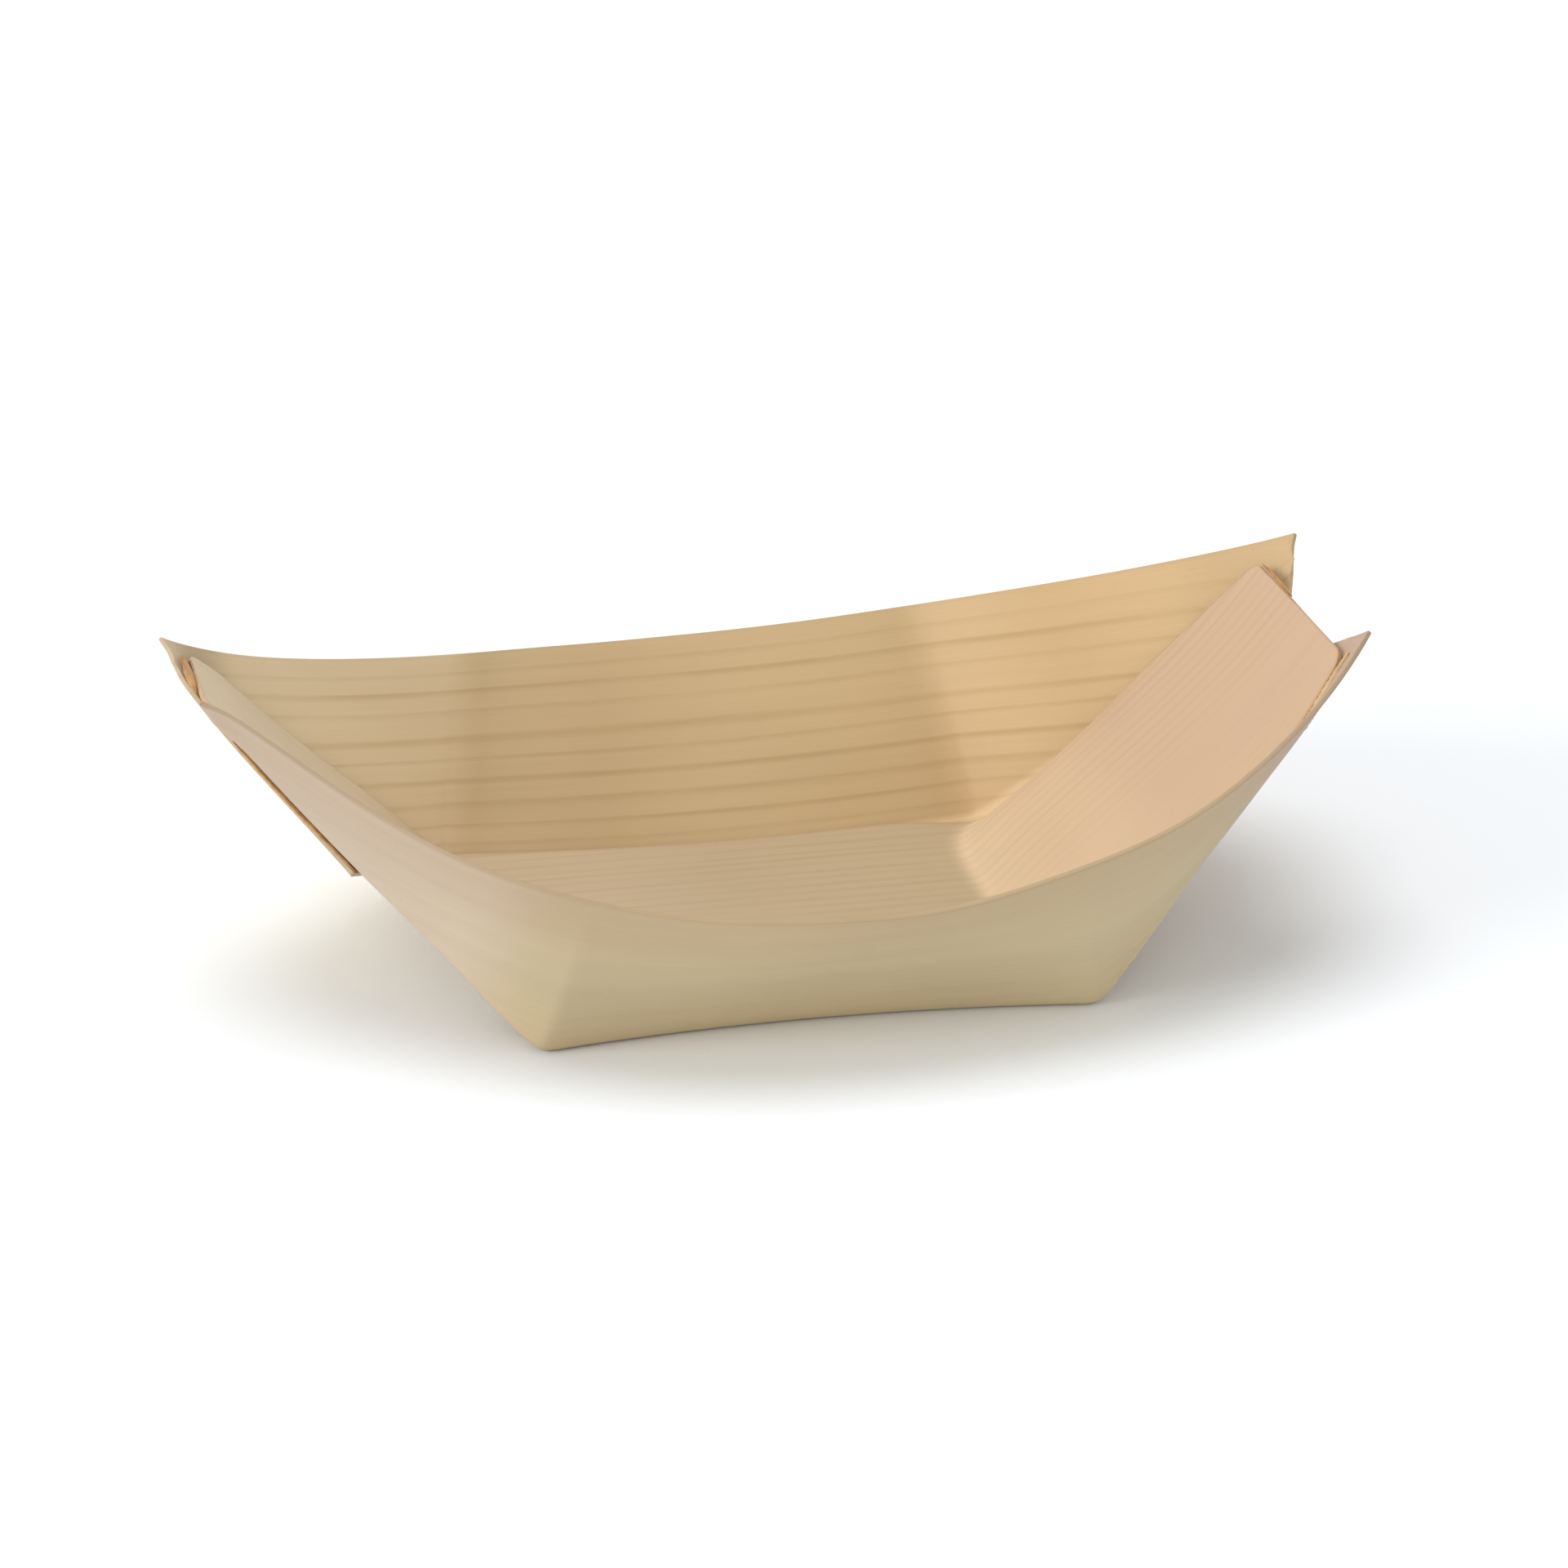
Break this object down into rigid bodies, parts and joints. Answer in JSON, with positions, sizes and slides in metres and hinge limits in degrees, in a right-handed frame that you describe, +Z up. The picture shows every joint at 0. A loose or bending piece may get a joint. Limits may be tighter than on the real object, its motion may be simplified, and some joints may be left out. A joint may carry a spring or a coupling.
{
  "type": "snack boat",
  "caption": "Disposable snack boat folded from thin pine veneer: a bent base strip and two side panels wrapped behind its raised ends and glued, with pointed ears at the corners.",
  "frame": {"origin": "centre of the footprint, on the surface the boat stands on", "axes": "+X along the boat's length to the end with the wider strip top, -Y to the front panel, +Z up"},
  "size_m": [0.1403, 0.0824, 0.0403],
  "materials": {
    "strip_veneer": "sliced",
    "front_veneer": "sliced",
    "back_veneer": "sliced",
    "dried_glue": "clear"
  },
  "bodies": {
    "root": {"base_strip": "strip_veneer", "front_side_panel": "front_veneer", "back_side_panel": "back_veneer", "front_floor_glue": "dried_glue", "back_floor_glue": "dried_glue", "left_front_end_glue": "dried_glue", "left_back_end_glue": "dried_glue", "left_lap_glue": "dried_glue", "right_front_end_glue": "dried_glue", "right_back_end_glue": "dried_glue", "right_lap_glue": "dried_glue"}
  },
  "joints": []
}
